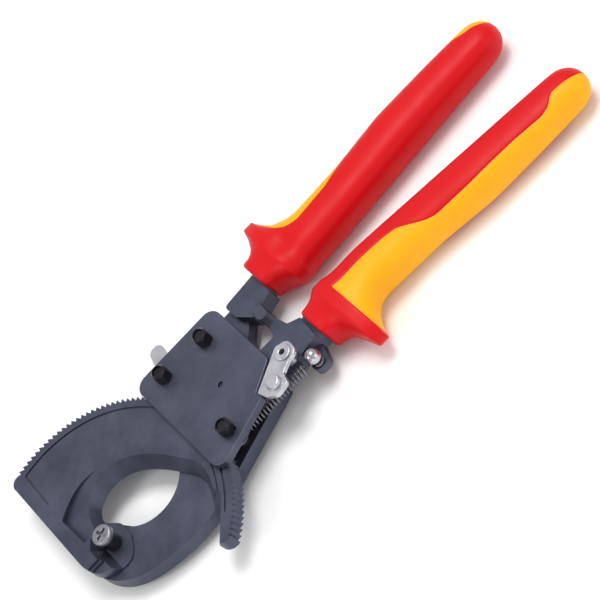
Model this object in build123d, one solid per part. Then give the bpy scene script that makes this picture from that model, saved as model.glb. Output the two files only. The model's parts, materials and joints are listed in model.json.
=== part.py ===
from build123d import *
import math
import os

os.makedirs("parts", exist_ok=True)

# Insulated ratchet cable cutter, 250 mm long.
# While it is modelled, the blade pivot is the Z axis and the two blades meet at z = 0.
# +Y runs along the tool to the handle ends, +X to the lever side, +Z out of the cover plate.
# The last lines move every piece so that the origin is under the middle of the whole tool.

# Head layers (z, mm)
WEB_BACK = -6.0          # back face of the fixed jaw and the head's web
LAYER_LOW = 0.2          # lowest face of the pieces between web and cover plate
BLADE_TOP = 6.0
PLATE_BACK = 6.3
PLATE_FRONT = 9.3
LATCH_BACK = 9.6
LATCH_FRONT = 11.4
SHANK_HALF = 3.5         # half the thickness of each handle's steel shank

# Moving blade
BLADE_BACK = 0.1
RIM_RADIUS = 54.4        # over the tips of the ratchet teeth
TOOTH_DEPTH = 1.5
TOOTH_PITCH = 2.4        # degrees
TOOTH_FLANK = 0.35       # degrees that the steep flank leans
RIM_START = 41.5         # angle of the nose's first tooth, degrees
TEETH = 64
BEVEL_WIDTH = 3.6        # ground bevel behind the cutting edge
BEVEL_HEIGHT = 5.4
BLADE_BORE = 3.25
RECESS_TILT = 6.5        # degrees that the recess's floor falls towards the heel

# Fixed jaw: the cable lies in a round mouth
MOUTH_X = -12.0
MOUTH_Y = 20.5
MOUTH_RADIUS = 16.8

# Blade pivot
BUSH_RADIUS = 3.2
SCREW_SEAT = 7.2         # under the screw's head, clear of the blade
SCREW_RADIUS = 2.0
SCREW_HEAD_RADIUS = 4.1
SCREW_HEAD = 2.2
WASHER = 0.8
NUT_BACK = -8.8          # back face of the pivot nut, level with the grips' backs

# Cover plate fasteners: centres of the three screws, which come through from the back
BOLTS = [(-29.2, 72.8), (-30.8, 53.0), (8.7, 59.0)]
BOLT_RADIUS = 2.0
BOLT_HOLE = 2.15
BOLT_SINK = 3.6          # radius of the countersunk head
BOLT_SINK_DEPTH = 1.8
NUT_FLATS = 5.6
NUT_HEIGHT = 5.2
NUT_DIMPLE = 0.6         # the screw ends this far below the nut's top
SLEEVE_RADIUS = 3.2
RUNNING_FIT = 0.05       # radial clearance of a bore that turns

# Lever
LEVER_X = -9.3
LEVER_Y = 66.9
LEVER_PIN = 3.0
LEVER_PIN_END = 1.1      # radius of the journal that shows in the cover plate
BEVEL_RUNOUT = 0.02
LEVER_HUB = 6.0
ARM_TOP = 2.7            # top of the short arm that carries the drive pawl
PAWL_PIN_X = -15.8
PAWL_PIN_Y = 59.4
PAWL_PIN = 1.6

# Latch
LATCH_X = 3.3
LATCH_Y = 91.5
RIVET_RADIUS = 1.8
RIVET_BORE = 1.15
RIVET_FLANGE = 3.3
THUMB_X = 10.3
THUMB_Y = 82.3
THUMB_RADIUS = 3.1

# Opening spring
SPRING_X = 8.3
SPRING_Z = 3.0
SPRING_COIL = 2.05       # mean radius
SPRING_WIRE = 0.45       # wire radius
SPRING_FROM = 64.0
SPRING_TO = 93.2
SPRING_TURNS = 17
STUD_X = 8.6
STUD_Y = 97.7
STUD_RADIUS = 1.3
STUD_BALL = 3.0
STUD_HOOK = 0.95         # height of the spring's loop under the ball

# Holding pawl's small spring
PEG_X = -25.2
PEG_Y = 63.6

# Grips: both are laid out from the line x = GRIP_MIRROR
GRIP_MIRROR = -20.3
LOWER_GRIP_SHIFT = 9.0   # the lever's grip sits this much further out along Y
LOWER_STOP_SHIFT = 1.2   # but the bump that faces the other grip hardly moves
COLLAR_HALF_WIDTH = 8.0
COLLAR_HALF_THICK = 7.4
GUARD_HALF = 5.5
TANG_HALF_WIDTH = 4.5
TANG_HALF_THICK = 3.0
TANG_END = 203.0


# ---------------------------------------------------------------- helpers

def outline(corners):
    """Flat face through corners (x, y, corner radius)."""
    face = make_face(Polyline(*[(x, y) for x, y, _ in corners], close=True))
    for x, y, radius in corners:
        if radius > 0:
            corner = face.vertices().sort_by_distance(Vector(x, y, 0))[0]
            face = fillet(corner, radius)
    return face


def slab(face, low, high):
    """Prism of a flat face between two heights."""
    return extrude(Pos(0, 0, low) * face, high - low, dir=(0, 0, 1))


def disc(x, y, radius, low, high):
    return Pos(x, y, (low + high) / 2) * Cylinder(radius, high - low)


def hexagon(x, y, flats, low, high):
    return slab(Pos(x, y) * RegularPolygon(flats / 2, 6, major_radius=False), low, high)


def polar(radius, angle):
    return (radius * math.cos(math.radians(angle)), radius * math.sin(math.radians(angle)))


def ring_band(radius, width, start, end, low, high):
    """Curved bar about the blade pivot, from one angle to the other."""
    outer = CenterArc((0, 0), radius + width / 2, start, end - start)
    inner = CenterArc((0, 0), radius - width / 2, start, end - start)
    sides = [Line(outer @ 0, inner @ 0), Line(outer @ 1, inner @ 1)]
    return slab(make_face([outer, inner] + sides), low, high)


def wire_rod(path, radius):
    """Round wire along a path."""
    section = Plane(origin=path @ 0, z_dir=path % 0) * Circle(radius)
    return sweep(section, path=path)


# ---------------------------------------------------------------- fixed body

def tang(side, shift, x_near, y_near):
    """Steel bar inside a grip, from the shank to TANG_END."""
    x_far = GRIP_MIRROR + side * 22.0
    y_far = TANG_END + shift
    half = TANG_HALF_WIDTH
    face = outline([
        (x_near - half, y_near, 0),
        (x_near + half, y_near, 0),
        (x_far + half, y_far, 1.5),
        (x_far - half, y_far, 1.5),
    ])
    return slab(face, -TANG_HALF_THICK, TANG_HALF_THICK)


def upper_tang():
    return tang(-1, 0.0, -35.2, 98.0)


def lower_tang():
    return tang(1, LOWER_GRIP_SHIFT, -3.2, 103.0)


def head_outline():
    """Web of the head, under the cover plate."""
    return outline([
        (-38.9, 82.4, 4.0),
        (-20.0, 82.6, 0),
        (4.4, 83.4, 3.0),
        (13.9, 58.6, 0),
        (12.0, 47.0, 0),
        (-38.2, 41.9, 5.0),
    ])


def hook_outline():
    """Fixed jaw: back of the hook, pivot lug and the round mouth."""
    mouth = CenterArc((MOUTH_X, MOUTH_Y), MOUTH_RADIUS, -42.8, 157.8)
    rail = Line((6.6, 78.1), (13.9, 58.6))
    back = Spline(
        [(13.9, 58.6), (18.8, 46.0), (22.4, 34.5), (23.3, 23.0), (21.6, 8.5),
         (17.2, -2.6), (9.8, -9.6), (0.0, -12.2), (-8.0, -9.0), (-10.0, -2.0), (-6.6, 4.2)],
        tangents=[(7.3, -19.5), (5.0, 3.6)],
    )
    lug = Line((-6.6, 4.2), mouth @ 0)
    top = Polyline(mouth @ 1, (-24.0, 46.0), (6.6, 78.1))
    return make_face([rail, back, lug, mouth, top])


def fixed_blade_arm():
    """Forging: hooked jaw, web of the head, shank and tang of the upper handle."""
    body = slab(hook_outline(), WEB_BACK, 0)
    edge = body.edges().filter_by(GeomType.CIRCLE).group_by(Axis.Z)[0]
    mouth_edge = edge.sort_by(SortBy.RADIUS)[-1]
    body = chamfer(mouth_edge, 4.5, 3.0)
    body += slab(head_outline(), WEB_BACK, 0)
    neck = outline([(-38.9, 74, 0), (-39.6, 94, 1), (-30.4, 94, 2), (-30.2, 88.8, 2), (-22.6, 82.8, 0),
                    (-22.0, 74, 0)])
    body += slab(neck, WEB_BACK, 0)
    shank = outline([
        (-39.3, 85.0, 1.5),
        (-32.0, 85.8, 0),
        (-25.6, 90.6, 1.5),
        (-28.9, 101.0, 0),
        (-40.8, 101.0, 0),
    ])
    body += slab(shank, -SHANK_HALF, SHANK_HALF)
    body += upper_tang()
    stop = outline([(-28.5, 91.4, 0), (-28.5, 95.8, 0), (-20.7, 95.8, 2.1), (-20.7, 91.4, 2.1)])
    body += slab(stop, -SHANK_HALF, 5.0)
    for x, y in BOLTS:
        body -= disc(x, y, BOLT_HOLE, WEB_BACK, 0)
        sink = Cone(BOLT_SINK, BOLT_RADIUS, BOLT_SINK_DEPTH)
        body -= Pos(x, y, WEB_BACK + BOLT_SINK_DEPTH / 2) * sink
    body -= disc(LEVER_X, LEVER_Y, LEVER_PIN, WEB_BACK, 0)
    body -= disc(0, 0, BUSH_RADIUS, WEB_BACK, 0)
    body -= disc(PEG_X, PEG_Y, 1.6, -2.5, 0)
    return body


def front_cover_plate():
    face = outline([
        (-38.9, 82.4, 5.0),
        (-1.6, 86.0, 2.5),
        (5.6, 75.0, 0.8),
        (9.2, 75.8, 0.8),
        (19.6, 47.2, 5.0),
        (-38.3, 41.7, 5.0),
    ])
    plate = slab(face, PLATE_BACK, PLATE_FRONT)
    plate = chamfer(plate.edges().group_by(Axis.Z)[-1], 0.3)
    for x, y in BOLTS:
        plate -= disc(x, y, BOLT_HOLE, PLATE_BACK, PLATE_FRONT)
    return plate - disc(LEVER_X, LEVER_Y, LEVER_PIN_END, PLATE_BACK, PLATE_FRONT)


def cover_bolt(x, y):
    """Screw from the back, its countersunk head flush with the web."""
    tip = PLATE_FRONT + NUT_HEIGHT - NUT_DIMPLE
    sink = Cone(BOLT_SINK, BOLT_RADIUS, BOLT_SINK_DEPTH)
    head = Pos(x, y, WEB_BACK + BOLT_SINK_DEPTH / 2) * sink
    return head + disc(x, y, BOLT_RADIUS, WEB_BACK, tip)


def cover_nut(x, y):
    """Tall hexagon nut with a chamfered top, open on the screw's end."""
    top = PLATE_FRONT + NUT_HEIGHT
    nut = hexagon(x, y, NUT_FLATS, PLATE_FRONT, top)
    cone = Pos(x, y, top - 1.2) * Cone(NUT_FLATS * 0.78, NUT_FLATS * 0.42, 2.4)
    nut = nut & (disc(x, y, NUT_FLATS, PLATE_FRONT, top - 2.4) + cone)
    return nut - disc(x, y, BOLT_RADIUS, PLATE_FRONT, top)


def spacer_sleeve(x, y):
    return disc(x, y, SLEEVE_RADIUS, 0, PLATE_BACK) - disc(x, y, BOLT_HOLE, 0, PLATE_BACK)


def lever_pivot_pin():
    pin = disc(LEVER_X, LEVER_Y, LEVER_PIN, WEB_BACK, PLATE_BACK)
    return pin + disc(LEVER_X, LEVER_Y, LEVER_PIN_END, PLATE_BACK, PLATE_FRONT - 0.6)


def pivot_bush():
    bush = disc(0, 0, BUSH_RADIUS, WEB_BACK, SCREW_SEAT)
    return bush - disc(0, 0, SCREW_RADIUS, WEB_BACK, SCREW_SEAT)


def pivot_screw():
    """Pan head with a cross recess, and its shank down to the nut."""
    seat = SCREW_SEAT
    head = disc(0, 0, SCREW_HEAD_RADIUS, seat, seat + SCREW_HEAD)
    head = fillet(head.edges().group_by(Axis.Z)[-1], 0.9)
    for angle in (20, 110):
        slot = Pos(0, 0, seat + SCREW_HEAD - 0.6) * Rot(0, 0, angle) * Box(4.6, 1.1, 1.4)
        head -= slot
    return head + disc(0, 0, SCREW_RADIUS, NUT_BACK + 0.3, seat)


def pivot_washer():
    return disc(0, 0, 5.2, WEB_BACK - WASHER, WEB_BACK) - disc(0, 0, 2.2, WEB_BACK - WASHER, WEB_BACK)


def pivot_nut():
    nut = hexagon(0, 0, 8.0, NUT_BACK, WEB_BACK - WASHER)
    return nut - disc(0, 0, SCREW_RADIUS, NUT_BACK, WEB_BACK - WASHER)


def spring_peg():
    return disc(PEG_X, PEG_Y, 1.6, -2.5, 5.8)


# ---------------------------------------------------------------- moving blade

CUTTING_EDGE = Spline(
    [(-12.3, 1.6), (-17.6, 5.4), (-19.7, 12.5), (-17.2, 21.0), (-9.6, 29.2), (3.0, 37.2),
     (15.3, 38.9), (26.0, 35.4), (34.2, 30.4)],
    tangents=[(-1.0, 0.25), (1.0, -0.75)],
)


def blade_outline():
    """Toothed rim, square heel, pivot lug, cutting edge and rounded nose."""
    rim = []
    for tooth in range(TEETH):
        angle = RIM_START + tooth * TOOTH_PITCH
        rim.append(polar(RIM_RADIUS, angle))
        rim.append(polar(RIM_RADIUS - TOOTH_DEPTH, angle + TOOTH_FLANK))
    teeth = Polyline(*rim)
    heel = ThreePointArc(rim[-1], (-51.4, -15.6), (-47.6, -17.0))
    sole = Line((-47.6, -17.0), (0.0, -13.4))
    lug = Spline([(0.0, -13.4), (7.9, -10.2), (11.0, -3.5), (9.6, 3.0), (3.5, 6.2), (-1.5, 6.6)],
                 tangents=[(1.0, 0.08), (-1.0, 0.0)])
    seat = Spline([(-1.5, 6.6), (-6.8, 4.4), (-12.3, 1.6)], tangents=[(-1.0, 0.0), (-1.0, 0.25)])
    nose = ThreePointArc((34.2, 30.4), (39.6, 31.4), rim[0])
    return make_face([teeth, heel, sole, lug, seat, CUTTING_EDGE, nose])


def blade_bevel():
    """Room over the ground bevel: it opens upwards from the cutting edge."""
    mouth = Polyline(CUTTING_EDGE @ 1, (44.0, 24.0), (44.0, 0.0), (0.0, -4.0), (-6.0, 0.0),
                     CUTTING_EDGE @ 0)
    face = make_face([CUTTING_EDGE, mouth])
    base = Pos(0, 0, BLADE_TOP - BEVEL_HEIGHT) * face
    slope = math.degrees(math.atan(BEVEL_WIDTH / BEVEL_HEIGHT))
    return extrude(base, BEVEL_HEIGHT + BEVEL_RUNOUT, dir=(0, 0, 1), taper=-slope)


def moving_blade():
    blade = slab(blade_outline(), BLADE_BACK, BLADE_TOP) - blade_bevel()
    blade -= disc(0, 0, BLADE_BORE, BLADE_BACK, BLADE_TOP)
    for groove in blade_grooves():
        blade -= groove
    blade -= blade_recess()
    for x, top in ((4.3, 5.1), (5.6, 4.2)):
        blade -= Pos(x + 10, -4, top + 5) * Box(20, 24, 10)
    return blade


def blade_grooves():
    """Shallow lines pressed beside the teeth, on the heel and on the nose."""
    floor = BLADE_TOP - 0.6
    top = BLADE_TOP + 1
    heel_line = outline([(-49.6, -10.4, 0), (-49.2, -11.2, 0), (-31.0, -10.4, 0), (-31.0, -9.6, 0)])
    return [
        ring_band(50.2, 0.9, 52, 192.3, floor, top),
        ring_band(47.4, 0.7, 54, 78, floor, top),
        slab(heel_line, floor, top),
    ]


def blade_recess():
    """Hollow round the pivot side of the cutting edge; its floor rises to nothing at the top."""
    bow = Spline([(-26.0, 12.0), (-26.8, 3.0), (-24.6, -3.4), (-20.6, -9.6)])
    foot = Line((-20.6, -9.6), (-5.6, -7.6))
    seat = ThreePointArc((-5.6, -7.6), (-4.9, 0.0), (-5.4, 6.0))
    closing = Polyline((-5.4, 6.0), (-10.0, 14.0), (-26.0, 12.0))
    face = make_face([bow, foot, seat, closing])
    block = slab(face, 0, 12)
    slope = Pos(-15, 11.5, BLADE_TOP + 5) * Rot(RECESS_TILT, 0, 0) * Pos(0, -15, 0) * Box(40, 60, 10)
    return block & slope


# ---------------------------------------------------------------- lever body

def lever_arm():
    """Moving lever: hub and short arm in the head, shank, stop lug, stud ear and tang."""
    neck = outline([
        (-14.4, 70.0, 1.5),
        (-10.2, 80.0, 4.0),
        (-9.9, 91.9, 1.2),
        (-14.2, 92.8, 1.8),
        (-15.4, 97.0, 2.0),
        (-9.8, 98.6, 1.5),
        (-7.4, 103.5, 0),
        (3.4, 103.5, 0),
        (5.4, 95.0, 2.0),
        (5.2, 86.0, 3.0),
        (0.5, 74.0, 3.0),
        (-4.4, 70.0, 1.5),
    ])
    body = slab(neck, LAYER_LOW, BLADE_TOP)
    body += disc(LEVER_X, LEVER_Y, LEVER_HUB, LAYER_LOW, BLADE_TOP)
    arm = outline([(-19.2, 58.0, 2.0), (-14.0, 56.2, 2.0), (-6.0, 64.0, 0), (-12.0, 70.0, 0)])
    body += slab(arm, LAYER_LOW, ARM_TOP)
    shank = outline([(-9.4, 93.0, 1.0), (-8.6, 108.0, 0), (3.0, 108.0, 0), (4.8, 93.0, 1.0)])
    body += slab(shank, -SHANK_HALF, SHANK_HALF)
    ear = outline([(2.0, 94.6, 0), (11.2, 94.6, 2.6), (11.2, 101.0, 2.6), (2.0, 103.0, 0)])
    body += slab(ear, -SHANK_HALF, LAYER_LOW)
    body += lower_tang()
    body -= disc(LEVER_X, LEVER_Y, LEVER_PIN + RUNNING_FIT, LAYER_LOW, BLADE_TOP)
    body -= disc(PAWL_PIN_X, PAWL_PIN_Y, PAWL_PIN, LAYER_LOW, ARM_TOP)
    body -= disc(LATCH_X, LATCH_Y, RIVET_RADIUS, LAYER_LOW, BLADE_TOP)
    body -= disc(STUD_X, STUD_Y, STUD_RADIUS, -SHANK_HALF, LAYER_LOW)
    return body


def drive_pawl_pin():
    return disc(PAWL_PIN_X, PAWL_PIN_Y, PAWL_PIN, LAYER_LOW, 5.9)


def drive_pawl():
    """Strut that pushes the teeth clockwise when the handles close."""
    low, high = 3.0, 4.9
    strut = outline([
        (-15.6, 62.6, 0),
        (-9.2, 58.4, 1.0),
        (-7.2, 54.4, 0),
        (-10.4, 56.0, 1.0),
        (-16.4, 56.1, 0),
    ])
    pawl = slab(strut, low, high) + disc(PAWL_PIN_X, PAWL_PIN_Y, 3.3, low, high)
    return pawl - disc(PAWL_PIN_X, PAWL_PIN_Y, PAWL_PIN + RUNNING_FIT, low, high)


def drive_pawl_spring():
    """Hairpin of spring wire round the pawl's pin."""
    z = 5.4
    path = FilletPolyline((-13.4, 61.75, z), (-18.0, 61.75, z), (-18.0, 57.1, z),
                          (-10.2, 57.1, z), radius=2.2)
    return wire_rod(path, 0.25)


def holding_pawl():
    """Pawl on the second bolt's sleeve; it keeps the blade from opening."""
    x, y = BOLTS[1]
    low, high = 0.3, 3.8
    strut = outline([
        (-31.6, 58.1, 0),
        (-22.4, 56.2, 1.0),
        (-21.2, 50.7, 0),
        (-24.6, 51.0, 1.0),
        (-29.0, 48.3, 0),
    ])
    pawl = slab(strut, low, high) + disc(x, y, 5.1, low, high)
    pawl -= disc(x, y, SLEEVE_RADIUS + RUNNING_FIT, low, high)
    return pawl - disc(-25.6, 53.6, 0.9, low, high)


def pawl_rivet():
    """Ties the release tab to the holding pawl."""
    return disc(-25.6, 53.6, 0.9, 0.3, 5.5)


def release_tab():
    """Bright tongue that sticks out of the head and lifts the holding pawl."""
    x, y = BOLTS[1]
    low, high = 3.9, 5.5
    tongue = outline([
        (-24.2, 51.6, 1.2),
        (-24.0, 55.6, 1.2),
        (-31.0, 57.6, 0),
        (-48.6, 58.9, 2.8),
        (-48.6, 53.0, 2.8),
        (-36.0, 51.0, 2.0),
        (-31.0, 48.6, 0),
    ])
    tab = slab(tongue, low, high) + disc(x, y, 4.6, low, high)
    tab -= disc(x, y, SLEEVE_RADIUS + RUNNING_FIT, low, high)
    return tab - disc(-25.6, 53.6, 0.9, low, high)


def coil_path(x, z, y_from, y_to, mean_radius, turns):
    """Centre line of a coil of wire along Y."""
    length = y_to - y_from
    return Helix(length / turns, length, mean_radius, (x, y_from, z), (0, 1, 0))


def holding_pawl_spring():
    return wire_rod(coil_path(PEG_X, 2.05, 57.2, 61.4, 1.1, 6), 0.22)


def opening_spring():
    """Extension spring with a loop round the third bolt's sleeve and one round the stud."""
    path = coil_path(SPRING_X, SPRING_Z, SPRING_FROM, SPRING_TO, SPRING_COIL, SPRING_TURNS)
    x, y = BOLTS[2]
    lower_loop = Pos(x, y, SPRING_Z) * Torus(SLEEVE_RADIUS + 0.55, SPRING_WIRE)
    upper_loop = Pos(STUD_X, STUD_Y, STUD_HOOK) * Torus(1.9, SPRING_WIRE)
    lower_link = wire_rod(Line((x, y + SLEEVE_RADIUS + 0.55, SPRING_Z), path @ 0), SPRING_WIRE)
    upper_link = wire_rod(Line(path @ 1, (STUD_X - 0.6, STUD_Y - 1.8, STUD_HOOK)), SPRING_WIRE)
    return wire_rod(path, SPRING_WIRE) + lower_loop + upper_loop + lower_link + upper_link


def spring_stud():
    """Post with a ball head on the lever's ear."""
    post = disc(STUD_X, STUD_Y, STUD_RADIUS, -SHANK_HALF, 4.0)
    return post + Pos(STUD_X, STUD_Y, 1.75 + STUD_BALL) * Sphere(STUD_BALL)


# ---------------------------------------------------------------- latch body

def latch_spacer():
    ring = disc(LATCH_X, LATCH_Y, 2.9, BLADE_TOP, LATCH_BACK)
    return ring - disc(LATCH_X, LATCH_Y, RIVET_RADIUS, BLADE_TOP, LATCH_BACK)


def latch_rivet():
    """Tubular rivet with a wide rolled head."""
    tube = disc(LATCH_X, LATCH_Y, RIVET_RADIUS, LAYER_LOW, LATCH_FRONT + 0.1)
    head = disc(LATCH_X, LATCH_Y, RIVET_FLANGE, LATCH_FRONT + 0.1, LATCH_FRONT + 0.9)
    head = fillet(head.edges().group_by(Axis.Z)[-1], 0.35)
    return tube + head - disc(LATCH_X, LATCH_Y, RIVET_BORE, LAYER_LOW, LATCH_FRONT + 0.9)


def handle_latch():
    """Stamped hook that swings over the notch of the cover plate."""
    face = outline([
        (8.2, 75.5, 0.4),
        (12.4, 76.9, 2.0),
        (15.5, 80.4, 2.5),
        (14.4, 86.1, 2.0),
        (9.9, 87.1, 1.2),
        (7.7, 91.2, 1.5),
        (6.9, 95.8, 3.0),
        (0.3, 95.8, 3.0),
        (-1.2, 90.6, 1.5),
    ])
    latch = slab(face, LATCH_BACK, LATCH_FRONT)
    latch -= disc(LATCH_X, LATCH_Y, RIVET_RADIUS + RUNNING_FIT, LATCH_BACK, LATCH_FRONT)
    return latch - disc(THUMB_X, THUMB_Y, 1.2, LATCH_BACK, LATCH_FRONT)


def thumb_stud():
    """Domed rivet that the thumb pushes."""
    dome = Pos(THUMB_X, THUMB_Y, LATCH_FRONT) * Sphere(THUMB_RADIUS)
    dome = dome & (Pos(THUMB_X, THUMB_Y, LATCH_FRONT + 0.9) * Box(8, 8, 1.8))
    return dome + disc(THUMB_X, THUMB_Y, 1.2, LATCH_BACK, LATCH_FRONT)


# ---------------------------------------------------------------- grips

# Stations along a grip: place, distance from the mirror line, half width, half thickness, corner
GRIP_STATIONS = [
    (112.0, 17.2, 9.8, 8.2, 5.5),
    (124.0, 16.4, 9.9, 8.5, 6.0),
    (150.0, 18.2, 9.4, 8.4, 6.0),
    (172.0, 20.8, 9.8, 8.7, 6.2),
    (196.0, 22.0, 8.9, 8.2, 5.8),
    (214.0, 22.7, 8.1, 7.6, 5.5),
    (221.0, 22.9, 6.9, 6.4, 5.0),
    (225.0, 23.0, 4.0, 3.8, 3.0),
]

GUARD = [
    (20.0, 103.5, 0), (27.6, 103.5, 2.0), (31.0, 107.0, 3.0), (38.0, 107.6, 2.0),
    (38.9, 113.2, 2.2), (29.6, 114.6, 6.0), (25.6, 126.0, 6.0), (20.0, 129.0, 0),
]

INNER_STOP = [
    (12.0, 104.0, 0), (9.0, 106.5, 2.0), (4.2, 111.6, 1.0), (3.9, 114.6, 0.8),
    (6.6, 116.6, 1.5), (7.4, 124.0, 2.0), (12.0, 126.0, 0),
]

# Seam between the red body and the yellow inlay on the outer side
SEAM = [
    (46.0, 113.4, 0), (21.0, 113.6, 3.0), (17.6, 121.0, 4.0), (17.8, 140.0, 6.0),
    (26.6, 153.0, 6.0), (28.0, 206.0, 4.0), (24.2, 213.0, 3.0), (24.2, 232.0, 0), (46.0, 232.0, 0),
]


def placed(corners, side, shift):
    """Corners given from the mirror line, put on one side of it."""
    return [(GRIP_MIRROR + side * x, y + shift, radius) for x, y, radius in corners]


def grip(side, shift, stop_shift, collar):
    """Grip shell with its finger guard, from its collar to its end."""
    stations = [(collar, 18.4, COLLAR_HALF_WIDTH, COLLAR_HALF_THICK, 5.0)] + GRIP_STATIONS
    sections = []
    for y, offset, half_width, half_thick, corner in stations:
        plane = Plane(origin=(GRIP_MIRROR + side * offset, y + shift, 0), x_dir=(1, 0, 0),
                      z_dir=(0, 1, 0))
        sections.append(plane * RectangleRounded(2 * half_width, 2 * half_thick, corner))
    body = loft(sections)
    body += slab(outline(placed(GUARD, side, shift)), -GUARD_HALF, GUARD_HALF)
    return body + slab(outline(placed(INNER_STOP, side, stop_shift)), -GUARD_HALF, GUARD_HALF)


def grip_pair(side, shift, stop_shift, collar, steel):
    """Red body and yellow inlay, both hollowed for the steel inside."""
    whole = grip(side, shift, stop_shift, collar) - steel
    zone = slab(outline(placed(SEAM, side, shift)), -20, 20)
    return whole - zone, whole & zone


# ---------------------------------------------------------------- assembly

arm = fixed_blade_arm()
lever = lever_arm()
upper_red, upper_yellow = grip_pair(-1, 0.0, 0.0, 101.0, arm)
lower_red, lower_yellow = grip_pair(1, LOWER_GRIP_SHIFT, LOWER_STOP_SHIFT, 96.5, lever)

pieces = {
    "fixed_blade_arm": arm,
    "front_cover_plate": front_cover_plate(),
    "lever_pivot_pin": lever_pivot_pin(),
    "pivot_bush": pivot_bush(),
    "pivot_screw": pivot_screw(),
    "pivot_washer": pivot_washer(),
    "pivot_nut": pivot_nut(),
    "spring_peg": spring_peg(),
    "upper_grip_body": upper_red,
    "upper_grip_inlay": upper_yellow,
    "moving_blade": moving_blade(),
    "lever_arm": lever,
    "lower_grip_body": lower_red,
    "lower_grip_inlay": lower_yellow,
    "drive_pawl": drive_pawl(),
    "drive_pawl_pin": drive_pawl_pin(),
    "drive_pawl_spring": drive_pawl_spring(),
    "holding_pawl": holding_pawl(),
    "pawl_rivet": pawl_rivet(),
    "release_tab": release_tab(),
    "holding_pawl_spring": holding_pawl_spring(),
    "opening_spring": opening_spring(),
    "spring_stud": spring_stud(),
    "latch_spacer": latch_spacer(),
    "latch_rivet": latch_rivet(),
    "handle_latch": handle_latch(),
    "thumb_stud": thumb_stud(),
}
for number, (bolt_x, bolt_y) in enumerate(BOLTS, start=1):
    pieces[f"cover_bolt_{number}"] = cover_bolt(bolt_x, bolt_y)
    pieces[f"cover_nut_{number}"] = cover_nut(bolt_x, bolt_y)
    pieces[f"spacer_sleeve_{number}"] = spacer_sleeve(bolt_x, bolt_y)

whole = Compound([*pieces.values()]).bounding_box()
shift = Pos(-whole.center().X, -whole.center().Y, -whole.min.Z)
print("whole tool", whole.size, "moved by", shift.position)
for name, piece in pieces.items():
    export_step(shift * piece, f"parts/{name}.step")
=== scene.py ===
"""Looks of the insulated ratchet cable cutter, built round its CAD frame."""

import json
import math

import bmesh
import bpy
import numpy as np
from mathutils import Matrix, Vector


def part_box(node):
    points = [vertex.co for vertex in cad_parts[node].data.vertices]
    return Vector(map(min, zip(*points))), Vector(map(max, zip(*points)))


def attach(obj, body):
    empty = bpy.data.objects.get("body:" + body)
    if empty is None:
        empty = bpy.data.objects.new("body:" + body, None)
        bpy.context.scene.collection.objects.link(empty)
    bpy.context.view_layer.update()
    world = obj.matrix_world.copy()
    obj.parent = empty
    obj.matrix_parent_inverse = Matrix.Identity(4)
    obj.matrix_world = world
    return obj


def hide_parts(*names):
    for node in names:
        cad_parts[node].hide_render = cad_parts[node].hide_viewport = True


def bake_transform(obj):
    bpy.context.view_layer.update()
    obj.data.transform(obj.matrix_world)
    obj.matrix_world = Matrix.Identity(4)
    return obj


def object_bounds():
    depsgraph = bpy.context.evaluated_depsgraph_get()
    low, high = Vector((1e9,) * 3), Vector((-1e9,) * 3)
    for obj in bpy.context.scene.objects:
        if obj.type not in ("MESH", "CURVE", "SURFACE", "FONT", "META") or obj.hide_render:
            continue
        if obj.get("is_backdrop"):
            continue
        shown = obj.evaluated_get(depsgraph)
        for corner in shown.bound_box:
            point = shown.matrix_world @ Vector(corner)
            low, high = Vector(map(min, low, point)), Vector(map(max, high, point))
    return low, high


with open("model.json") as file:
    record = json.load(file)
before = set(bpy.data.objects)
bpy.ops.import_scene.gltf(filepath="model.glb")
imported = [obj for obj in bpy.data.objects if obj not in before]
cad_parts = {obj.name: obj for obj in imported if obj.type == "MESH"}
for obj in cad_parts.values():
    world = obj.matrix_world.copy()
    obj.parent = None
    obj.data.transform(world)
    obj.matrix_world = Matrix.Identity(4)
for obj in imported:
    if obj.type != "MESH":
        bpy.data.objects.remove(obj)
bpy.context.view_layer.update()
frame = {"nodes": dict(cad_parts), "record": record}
MM = 0.001

# The blade's pivot is the zero that the sizes below are given from, across and along.
# In height the zero is the web's front face, NUT_REACH in front of the back of the nut.
NUT_REACH = 8.8
NUT_LOW, NUT_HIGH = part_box("pivot_nut")
ORIGIN = Vector(((NUT_LOW.x + NUT_HIGH.x) / 2, (NUT_LOW.y + NUT_HIGH.y) / 2, NUT_LOW.z + NUT_REACH * MM))


# ---------------------------------------------------------------- colour and nodes

def linear(code):
    """sRGB hex to linear RGBA."""
    values = [int(code[i:i + 2], 16) / 255 for i in (0, 2, 4)]
    return [c / 12.92 if c <= 0.04045 else ((c + 0.055) / 1.055) ** 2.4 for c in values] + [1.0]


def add(tree, kind, settings=None, links=None):
    """New node with its settings (attributes or inputs) and the sockets that feed it."""
    node = tree.nodes.new(kind)
    for key, value in (settings or {}).items():
        if isinstance(key, str) and hasattr(node, key):
            setattr(node, key, value)
        else:
            node.inputs[key].default_value = value
    for key, source in (links or {}).items():
        tree.links.new(source, node.inputs[key])
    return node


def start_material(name):
    """Empty material with its output and the place on the tool in millimetres."""
    material = bpy.data.materials.new(name)
    material.use_nodes = True
    tree = material.node_tree
    tree.nodes.clear()
    coordinates = add(tree, "ShaderNodeTexCoord")
    place = add(tree, "ShaderNodeVectorMath", {"operation": "SCALE", "Scale": 1 / MM},
                {0: coordinates.outputs["Object"]})
    return material, tree, place.outputs[0]


def close_material(tree, shader):
    add(tree, "ShaderNodeOutputMaterial", None, {"Surface": shader.outputs[0]})


# ---------------------------------------------------------------- finishes

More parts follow.
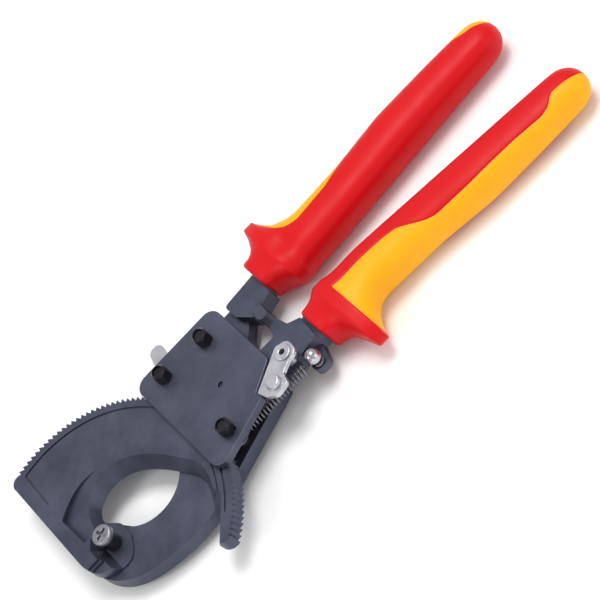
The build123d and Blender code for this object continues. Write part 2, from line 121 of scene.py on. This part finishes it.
def burnished_steel(name, base, worn, roughness, grain_mm, height_mm):
    """Oil-blackened (burnished) tool steel: the black oxide is a little uneven,
    so it reads as a soft blue-grey satin, cloudy over a centimetre or so."""
    material, tree, place = start_material(name)
    cloud = add(tree, "ShaderNodeTexNoise", {"Scale": 1 / 14.0, "Detail": 4.0, "Roughness": 0.6},
                {"Vector": place})
    grain = add(tree, "ShaderNodeTexNoise", {"Scale": 1 / grain_mm, "Detail": 3.0, "Roughness": 0.65},
                {"Vector": place})
    patch = add(tree, "ShaderNodeMapRange", {"From Min": 0.35, "From Max": 0.7},
                {"Value": cloud.outputs["Fac"]})
    tone = add(tree, "ShaderNodeMix", {"data_type": "RGBA", 6: linear(base), 7: linear(worn)},
               {0: patch.outputs[0]})
    gloss = add(tree, "ShaderNodeMapRange",
                {"From Min": 0.3, "From Max": 0.7, "To Min": roughness - 0.06, "To Max": roughness + 0.08},
                {"Value": grain.outputs["Fac"]})
    bump = add(tree, "ShaderNodeBump", {"Strength": 0.35, "Distance": height_mm * MM},
               {"Height": grain.outputs["Fac"]})
    shader = add(tree, "ShaderNodeBsdfPrincipled", {"Metallic": 0.75},
                 {"Base Color": tone.outputs[2], "Roughness": gloss.outputs[0],
                  "Normal": bump.outputs[0]})
    close_material(tree, shader)
    return material


def bright_steel(name, colour, roughness, scratch_mm):
    """Zinc-plated pressed steel: clean and pale, with the fine scratches of tumbling."""
    material, tree, place = start_material(name)
    grain = add(tree, "ShaderNodeTexNoise", {"Scale": 1 / scratch_mm, "Detail": 5.0, "Roughness": 0.7},
                {"Vector": place})
    cloud = add(tree, "ShaderNodeTexNoise", {"Scale": 1 / 5.0, "Detail": 3.0}, {"Vector": place})
    tone = add(tree, "ShaderNodeMix",
               {"data_type": "RGBA", 6: linear(colour), 7: linear("9b9ba5")},
               {0: cloud.outputs["Fac"]})
    gloss = add(tree, "ShaderNodeMapRange",
                {"From Min": 0.3, "From Max": 0.7, "To Min": roughness - 0.05, "To Max": roughness + 0.1},
                {"Value": grain.outputs["Fac"]})
    bump = add(tree, "ShaderNodeBump", {"Strength": 0.2, "Distance": 0.02 * MM},
               {"Height": grain.outputs["Fac"]})
    shader = add(tree, "ShaderNodeBsdfPrincipled", {"Metallic": 0.9},
                 {"Base Color": tone.outputs[2], "Roughness": gloss.outputs[0],
                  "Normal": bump.outputs[0]})
    close_material(tree, shader)
    return material


def grip_plastic(name, colour, shade, roughness):
    """Injection-moulded grip: the mould is spark-eroded, so the skin has a fine
    pebble that breaks the highlight, over a saturated colour."""
    material, tree, place = start_material(name)
    pebble = add(tree, "ShaderNodeTexVoronoi", {"Scale": 1 / 0.55, "feature": "SMOOTH_F1"},
                 {"Vector": place})
    cloud = add(tree, "ShaderNodeTexNoise", {"Scale": 1 / 9.0, "Detail": 3.0, "Roughness": 0.55},
                {"Vector": place})
    tone = add(tree, "ShaderNodeMix", {"data_type": "RGBA", 6: linear(colour), 7: linear(shade)},
               {0: cloud.outputs["Fac"]})
    gloss = add(tree, "ShaderNodeMapRange",
                {"From Min": 0.3, "From Max": 0.7, "To Min": roughness - 0.05, "To Max": roughness + 0.06},
                {"Value": cloud.outputs["Fac"]})
    bump = add(tree, "ShaderNodeBump", {"Strength": 0.3, "Distance": 0.05 * MM},
               {"Height": pebble.outputs["Distance"]})
    shader = add(tree, "ShaderNodeBsdfPrincipled", {"IOR": 1.49, "Specular IOR Level": 0.22},
                 {"Base Color": tone.outputs[2], "Roughness": gloss.outputs[0],
                  "Normal": bump.outputs[0]})
    close_material(tree, shader)
    return material


FINISHES = {
    "forged_steel": burnished_steel("burnished_forged_steel", "454858", "565a6b", 0.42, 0.7, 0.05),
    "blade_steel": burnished_steel("burnished_blade_steel", "484b5b", "595d6e", 0.40, 0.6, 0.04),
    "plate_steel": burnished_steel("burnished_sheet_steel", "4b4e5e", "5a5d6e", 0.40, 0.5, 0.03),
    "bolt_steel": burnished_steel("blackened_nut_steel", "26252a", "3c3b42", 0.28, 0.4, 0.02),
    # inner_steel: the pieces under the cover plate get a darker tone than the other steel, as painted
    # shade for the shadow the plate casts over them
    "inner_steel": burnished_steel("inner_steel_painted_shade", "2c2d36", "43444f", 0.38, 0.5, 0.02),
    "screw_steel": bright_steel("worn_screw_steel", "8a878e", 0.38, 0.3),
    "spring_wire": burnished_steel("oiled_spring_wire", "55555c", "8a8a92", 0.24, 0.4, 0.01),
    "latch_steel": bright_steel("zinc_plated_steel", "e2e2e8", 0.32, 0.3),
    "chrome_ball": bright_steel("polished_stud_steel", "d8d5d8", 0.12, 0.3),
    "red_grip": grip_plastic("red_moulded_grip", "d60b14", "c60912", 0.42),
    "yellow_grip": grip_plastic("yellow_moulded_grip", "f8b214", "f3a60c", 0.46),
}




def finish_mesh(name, source, finish, sharp_degrees):
    """Turns a bmesh into a smooth-shaded object with edges sharper than the angle kept crisp."""
    mesh = bpy.data.meshes.new(name)
    source.to_mesh(mesh)
    source.free()
    mesh.materials.append(FINISHES[finish])
    mesh.shade_smooth()
    mesh.set_sharp_from_angle(angle=math.radians(sharp_degrees))
    made = bpy.data.objects.new(name, mesh)
    bpy.context.scene.collection.objects.link(made)
    return made


JOIN_GAP = 0.002         # mm, corners closer than this are one
USUAL_BREAK = 0.22       # mm, width of the broken edge where no other is given
BROKEN_FROM = 38.0       # degrees, edges sharper than this are broken
CREASED_FROM = 24.0      # degrees, edges sharper than this stay a crease
EDGE_BREAK = {"moving_blade": 0.3, "fixed_blade_arm": 0.4, "front_cover_plate": 0.35}


def make_creases():
    """Keeps a crease at every edge over CREASED_FROM, so that big flats aren't shaded round."""
    group = bpy.data.node_groups.new("kept_creases", "GeometryNodeTree")
    group.interface.new_socket("Geometry", in_out="INPUT", socket_type="NodeSocketGeometry")
    group.interface.new_socket("Geometry", in_out="OUTPUT", socket_type="NodeSocketGeometry")
    inlet = add(group, "NodeGroupInput")
    angle = add(group, "GeometryNodeInputMeshEdgeAngle")
    steep = add(group, "ShaderNodeMath", {"operation": "LESS_THAN", 1: math.radians(CREASED_FROM)},
                {0: angle.outputs["Unsigned Angle"]})
    shade = add(group, "GeometryNodeSetShadeSmooth", {"domain": "EDGE"},
                {"Geometry": inlet.outputs[0], "Shade Smooth": steep.outputs[0]})
    add(group, "NodeGroupOutput", None, {0: shade.outputs[0]})
    return group


CREASES = make_creases()


def dress_frame():
    """Each piece of the frame gets the finish of its slot, even shading and broken edges."""
    slots = {part["node"]: part["material_slot"] for part in frame["record"]["subparts"]}
    for name, piece in frame["nodes"].items():
        piece.data.materials.clear()
        piece.data.materials.append(FINISHES[slots[name]])
        weld = piece.modifiers.new("joined_corners", "WELD")
        weld.merge_threshold = JOIN_GAP * MM
        crease = piece.modifiers.new("kept_creases", "NODES")
        crease.node_group = CREASES
        flats = piece.modifiers.new("whole_flats", "DECIMATE")
        flats.decimate_type = "DISSOLVE"
        flats.angle_limit = math.radians(0.6)
        bevel = piece.modifiers.new("broken_edges", "BEVEL")
        bevel.width = EDGE_BREAK.get(name, USUAL_BREAK) * MM
        bevel.segments = 2
        bevel.limit_method = "ANGLE"
        bevel.angle_limit = math.radians(BROKEN_FROM)
        bevel.use_clamp_overlap = True
        even = piece.modifiers.new("even_shading", "WEIGHTED_NORMAL")
        even.keep_sharp = True


# ---------------------------------------------------------------- grips

SEAM_DEPTH = 0.28        # mm, depth of the joint line between the two colours


def profile(points, place, soften=0.0):
    """Value along the grip from (place, value) pairs, with its corners softened over a few mm."""
    known, values = zip(*points)
    if not soften:
        return np.interp(place, known, values)
    spread = np.linspace(-2.0, 2.0, 17)
    weights = np.exp(-0.5 * spread ** 2)
    samples = np.interp(place[:, None] + soften * spread, known, values)
    return samples @ weights / weights.sum()


UPPER = {
    # place along the grip: centre across, half width, half thickness, squareness
    "stations": [(100.6, -38.7, 8.0, 7.4, 3.2), (108.0, -38.0, 8.7, 7.8, 3.0),
                 (112.0, -37.5, 9.8, 8.2, 2.7), (124.0, -36.7, 9.9, 8.5, 2.6),
                 (150.0, -38.5, 9.4, 8.4, 2.5), (172.0, -41.1, 9.8, 8.7, 2.5),
                 (196.0, -42.3, 8.9, 8.2, 2.5), (214.0, -43.0, 8.1, 7.6, 2.5),
                 (225.0, -43.3, 7.4, 7.0, 2.3)],
    "outer": -1,
    # how far the section has grown into the guard plate
    "guard": [(100.0, 0.0), (103.9, 0.03), (105.9, 0.13), (107.4, 0.28), (109.2, 0.6),
              (110.6, 1.0), (114.8, 1.0), (115.3, 0.86), (116.2, 0.66), (118.8, 0.33),
              (123.6, 0.09), (127.5, 0.0)],
    "plate": (-37.5, 12.6, 23.6, 9.2),
    # edge of the yellow inlay, as a share of the half width from the middle, outwards
    "seam": [(115.3, 0.93), (116.0, 0.88), (118.5, 0.68), (121.5, 0.45), (126.5, 0.33),
             (142.0, 0.42), (147.0, 0.62), (153.0, 0.78), (205.0, 0.78), (210.0, 0.72),
             (215.0, 0.4), (221.0, 0.3), (226.0, 0.35)],
    "dimple": (-36.9, 116.2, 1.5, 3.0),
}

LOWER = {
    "stations": [(105.0, -1.9, 8.0, 7.4, 3.2), (112.0, -2.4, 8.7, 7.8, 3.0),
                 (117.0, -3.1, 9.8, 8.2, 2.7), (133.0, -3.9, 9.9, 8.5, 2.6),
                 (159.0, -2.1, 9.4, 8.4, 2.5), (181.0, 0.5, 9.8, 8.7, 2.5),
                 (205.0, 1.7, 8.9, 8.2, 2.5), (223.0, 2.4, 8.1, 7.6, 2.5),
                 (234.0, 2.7, 7.4, 7.0, 2.3)],
    "outer": 1,
    "guard": [(104.0, 0.0), (108.0, 0.03), (110.0, 0.1), (111.3, 0.2), (112.8, 0.5),
              (114.7, 1.0), (119.1, 1.0), (119.6, 0.84), (120.6, 0.6), (122.8, 0.32),
              (126.1, 0.08), (130.0, 0.0)],
    "plate": (-3.1, 12.2, 25.4, 9.2),
    "seam": [(119.6, -0.14), (124.0, -0.1), (144.0, -0.07), (150.0, 0.02), (155.0, 0.38),
             (159.0, 0.62), (163.0, 0.72), (186.0, 0.62), (200.0, 0.62), (213.0, 0.7),
             (217.0, 0.6), (221.0, 0.22), (226.0, 0.25), (234.0, 0.35)],
    "dimple": None,
}


def signed_power(value, power):
    return np.sign(value) * np.abs(value) ** power


def grip_rows(shape):
    """Places of the rows along a grip: close together where the guard and its fillets turn."""
    first, last = shape["stations"][0][0], shape["stations"][-1][0]
    seam_front = shape["seam"][0][0]
    rows = [*np.arange(first, first + 30, 0.5), *np.arange(first + 30, last - 9, 1.6),
            *np.arange(last - 9, last + 0.01, 0.5)]
    rows = [row for row in rows if abs(row - seam_front) > 0.55]
    rows += [seam_front - 0.4, seam_front, seam_front + 0.4]
    return np.array(sorted(rows)), seam_front


def build_grip(name, shape, body, red_node, yellow_node):
    """One overmoulded grip: red body with its guard, yellow inlay down the outer side."""
    rows, seam_front = grip_rows(shape)
    place, centre, half, thick, square = [np.array(c) for c in zip(*shape["stations"])]
    middle = profile(list(zip(place, centre)), rows, 3.0)
    width = profile(list(zip(place, half)), rows, 2.5)
    height = profile(list(zip(place, thick)), rows, 2.5)
    power = profile(list(zip(place, square)), rows)
    guard = profile(shape["guard"], rows, 0.16)
    share = profile(shape["seam"], rows, 0.5)
    seam_angle = np.arccos(np.clip(signed_power(share, power / 2), -1, 1))

    first, last = rows[0], rows[-1]
    front_round = np.sqrt(np.clip(1 - np.clip(1 - (rows - first) / 1.4, 0, 1) ** 2, 0, 1)) * 0.12 + 0.88
    end_reach = 9.0
    end_round = np.sqrt(np.clip(1 - np.clip(1 - (last - rows) / end_reach, 0, 1) ** 2.3, 0.0, 1))
    shrink = front_round * end_round

    lip = 0.045
    yellow = np.concatenate([[0.0, lip], np.linspace(0, 1, 27)[1:-1], [1 - lip, 1.0]])
    red = np.concatenate([[0.0, lip / 2], np.linspace(0, 1, 47)[1:-1], [1 - lip / 2, 1.0]])
    yellow_columns, red_columns = len(yellow), len(red) - 2
    points = np.zeros((len(rows), yellow_columns + red_columns, 3))
    groove = np.zeros(points.shape[:2])
    plate_middle, plate_in, plate_out, plate_high = shape["plate"]
    for i, row in enumerate(rows):
        edge = seam_angle[i]
        angles = np.concatenate([-edge + 2 * edge * yellow,
                                 (edge + (2 * math.pi - 2 * edge) * red)[1:-1]])
        c, s = np.cos(angles), np.sin(angles)
        body_x = width[i] * signed_power(c, 2 / power[i])
        body_z = height[i] * signed_power(s, 2 / power[i])
        reach = np.where(c > 0, plate_out, plate_in)
        bend = np.where(c > 0, 1.04, 0.84)
        plate_x = reach * signed_power(c, bend) + shape["outer"] * (plate_middle - middle[i])
        plate_z = plate_high * signed_power(s, 0.94)
        x = (body_x + guard[i] * (plate_x - body_x)) * shrink[i]
        z = (body_z + guard[i] * (plate_z - body_z)) * shrink[i]
        if row > seam_front - 0.1:
            groove[i, [0, yellow_columns - 1]] = SEAM_DEPTH
        if abs(row - seam_front) < 0.05:
            groove[i, :yellow_columns] = SEAM_DEPTH
        length = np.hypot(x, z) + 1e-6
        x, z = x - groove[i] * x / length, z - groove[i] * z / length
        lean = 0.1 * np.clip((140 - row) / 15, 0, 1)
        points[i] = np.stack([middle[i] + shape["outer"] * x,
                              row + lean * shape["outer"] * x, z], axis=1)
    if shape["dimple"]:
        x0, y0, depth, radius = shape["dimple"]
        away = ((points[..., 0] - x0) ** 2 + (points[..., 1] - y0) ** 2) / (2 * radius ** 2)
        points[..., 2] -= np.where(points[..., 2] > 0, depth * np.exp(-away), 0)

    columns = points.shape[1]
    pieces = {"red": [], "yellow": []}
    for i in range(len(rows) - 1):
        for j in range(columns):
            k = (j + 1) % columns
            colour = "yellow" if rows[i] > seam_front - 0.1 and j < yellow_columns - 1 else "red"
            pieces[colour].append((i * columns + j, (i + 1) * columns + j,
                                   (i + 1) * columns + k, i * columns + k))
    made = []
    for colour, node, finish in (("red", red_node, "red_grip"), ("yellow", yellow_node, "yellow_grip")):
        shell = bmesh.new()
        corners = {}
        for face in pieces[colour]:
            loop = []
            for index in face:
                if index not in corners:
                    i, j = divmod(index, columns)
                    corners[index] = shell.verts.new(ORIGIN + Vector(points[i, j]) * MM)
                loop.append(corners[index])
            shell.faces.new(loop if shape["outer"] > 0 else loop[::-1])
        if colour == "red":
            for i in (0, len(rows) - 1):
                rim = [corners[i * columns + j] for j in range(columns) if i * columns + j in corners]
                if i == 0 or len(rim) == columns:
                    shell.faces.new(rim)
        rims = [e for e in shell.edges if e.is_boundary]
        inward = bmesh.ops.extrude_edge_only(shell, edges=rims)["geom"]
        for corner in [g for g in inward if isinstance(g, bmesh.types.BMVert)]:
            heart = ORIGIN.x + MM * np.interp((corner.co.y - ORIGIN.y) / MM, rows, middle)
            pull = Vector((heart, corner.co.y, ORIGIN.z)) - corner.co
            corner.co += pull.normalized() * min(1.6 * MM, pull.length * 0.5)
        bmesh.ops.recalc_face_normals(shell, faces=shell.faces)
        made.append(finish_mesh(f"{name}_{colour}", shell, finish, 40))
        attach(made[-1], body)
        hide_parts(node)
    return made


# ---------------------------------------------------------------- opening spring

def opening_spring():
    """Extension spring wound from one wire: loop round the bolt's sleeve, coils, hook at the stud."""
    bolt, stud = Vector((8.7, 59.0, 3.0)), Vector((8.6, 97.7, 0.95))
    start, end, radius, turns = 64.2, 92.8, 2.05, 19
    path = [bolt + Vector((3.6 * math.sin(a), -3.6 * math.cos(a), 0.0))
            for a in np.linspace(-2.5, 2.4, 28)]
    path += [Vector((8.3 + radius * math.sin(2 * math.pi * turns * t), start + (end - start) * t,
                     3.0 - radius * math.cos(2 * math.pi * turns * t)))
             for t in np.linspace(0, 1, turns * 18)]
    path += [stud + Vector((1.9 * math.sin(a), 1.9 * math.cos(a), 0.0))
             for a in np.linspace(-2.3, 2.6, 20)]
    wire = bpy.data.curves.new("opening_spring_wire", "CURVE")
    wire.dimensions = "3D"
    wire.bevel_depth = 0.45 * MM
    wire.bevel_resolution = 3
    wire.use_fill_caps = True
    line = wire.splines.new("POLY")
    line.points.add(len(path) - 1)
    for point, spot in zip(line.points, path):
        point.co = (*(ORIGIN + spot * MM), 1)
    source = bpy.data.objects.new("opening_spring_source", wire)
    bpy.context.scene.collection.objects.link(source)
    mesh = bpy.data.meshes.new_from_object(source)
    bpy.data.objects.remove(source)
    mesh.name = "opening_spring_coil"
    mesh.materials.clear()
    mesh.materials.append(FINISHES["spring_wire"])
    mesh.shade_smooth()
    spring = bpy.data.objects.new("opening_spring_coil", mesh)
    bpy.context.scene.collection.objects.link(spring)
    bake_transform(spring)
    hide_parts("opening_spring")


# ---------------------------------------------------------------- floor, lights, camera

def make_floor(level):
    """Pale studio floor, far larger than the view."""
    sheet = bmesh.new()
    bmesh.ops.create_grid(sheet, x_segments=1, y_segments=1, size=4.0)
    bmesh.ops.translate(sheet, verts=sheet.verts, vec=(0, 0, level))
    material, tree, place = start_material("matt_paper_floor")
    shader = add(tree, "ShaderNodeBsdfPrincipled",
                 {"Base Color": linear("fbfbfb"), "Roughness": 0.9, "Specular IOR Level": 0.1})
    close_material(tree, shader)
    mesh = bpy.data.meshes.new("studio_floor")
    sheet.to_mesh(mesh)
    sheet.free()
    mesh.materials.append(material)
    floor = bpy.data.objects.new("studio_floor", mesh)
    bpy.context.scene.collection.objects.link(floor)
    floor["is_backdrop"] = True


RIGHT = Vector((0.48718, 0.69677, -0.52647))
UP = Vector((-0.55687, 0.71224, 0.42733))
BACK = Vector((0.67272, 0.08498, 0.735))
TARGET = Vector((-0.006939, -0.001201, 0.0118))


def make_studio_colour():
    """Plain display colours, so the reds and yellows stay as strong as the plastic is."""
    bpy.context.scene.view_settings.view_transform = "Standard"
    bpy.context.scene.view_settings.look = "None"


def make_camera():
    """Long lens, so the tool is drawn almost without perspective."""
    lens = bpy.data.cameras.new("camera")
    lens.lens = 180.0
    lens.clip_start = 0.05
    camera = bpy.data.objects.new("camera", lens)
    camera.matrix_world = Matrix.Translation(TARGET + BACK.normalized() * 1.064) @ \
        Matrix((RIGHT.normalized(), UP.normalized(), BACK.normalized())).transposed().to_4x4()
    bpy.context.scene.collection.objects.link(camera)
    bpy.context.scene.camera = camera


def make_light(name, offset, size, power):
    """Softbox at an offset (across, up, towards the viewer) from the tool, turned to it."""
    lamp = bpy.data.lights.new(name, "AREA")
    lamp.size = size
    lamp.energy = power
    place = TARGET + RIGHT * offset[0] + UP * offset[1] + BACK * offset[2]
    light = bpy.data.objects.new(name, lamp)
    light.location = place
    light.rotation_euler = (TARGET - place).to_track_quat("-Z", "Y").to_euler()
    bpy.context.scene.collection.objects.link(light)


def make_studio(level):
    make_floor(level)
    make_studio_colour()
    make_camera()
    make_light("key_softbox", (-0.45, 0.75, 0.65), 0.55, 7.0)
    make_light("fill_softbox", (0.8, 0.2, 0.8), 0.9, 2.4)
    make_light("low_softbox", (0.2, -0.9, 0.7), 0.7, 1.6)
    make_light("strip_softbox", (-0.9, -0.3, 0.5), 0.35, 2.0)
    world = bpy.data.worlds.new("studio_air")
    world.use_nodes = True
    world.node_tree.nodes["Background"].inputs["Color"].default_value = linear("ffffff")
    world.node_tree.nodes["Background"].inputs["Strength"].default_value = 0.62
    bpy.context.scene.world = world


# ---------------------------------------------------------------- the tool

dress_frame()
build_grip("upper_grip", UPPER, "head", "upper_grip_body", "upper_grip_inlay")
build_grip("lower_grip", LOWER, "lever", "lower_grip_body", "lower_grip_inlay")
opening_spring()
make_studio(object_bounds()[0][2] - 0.0002)
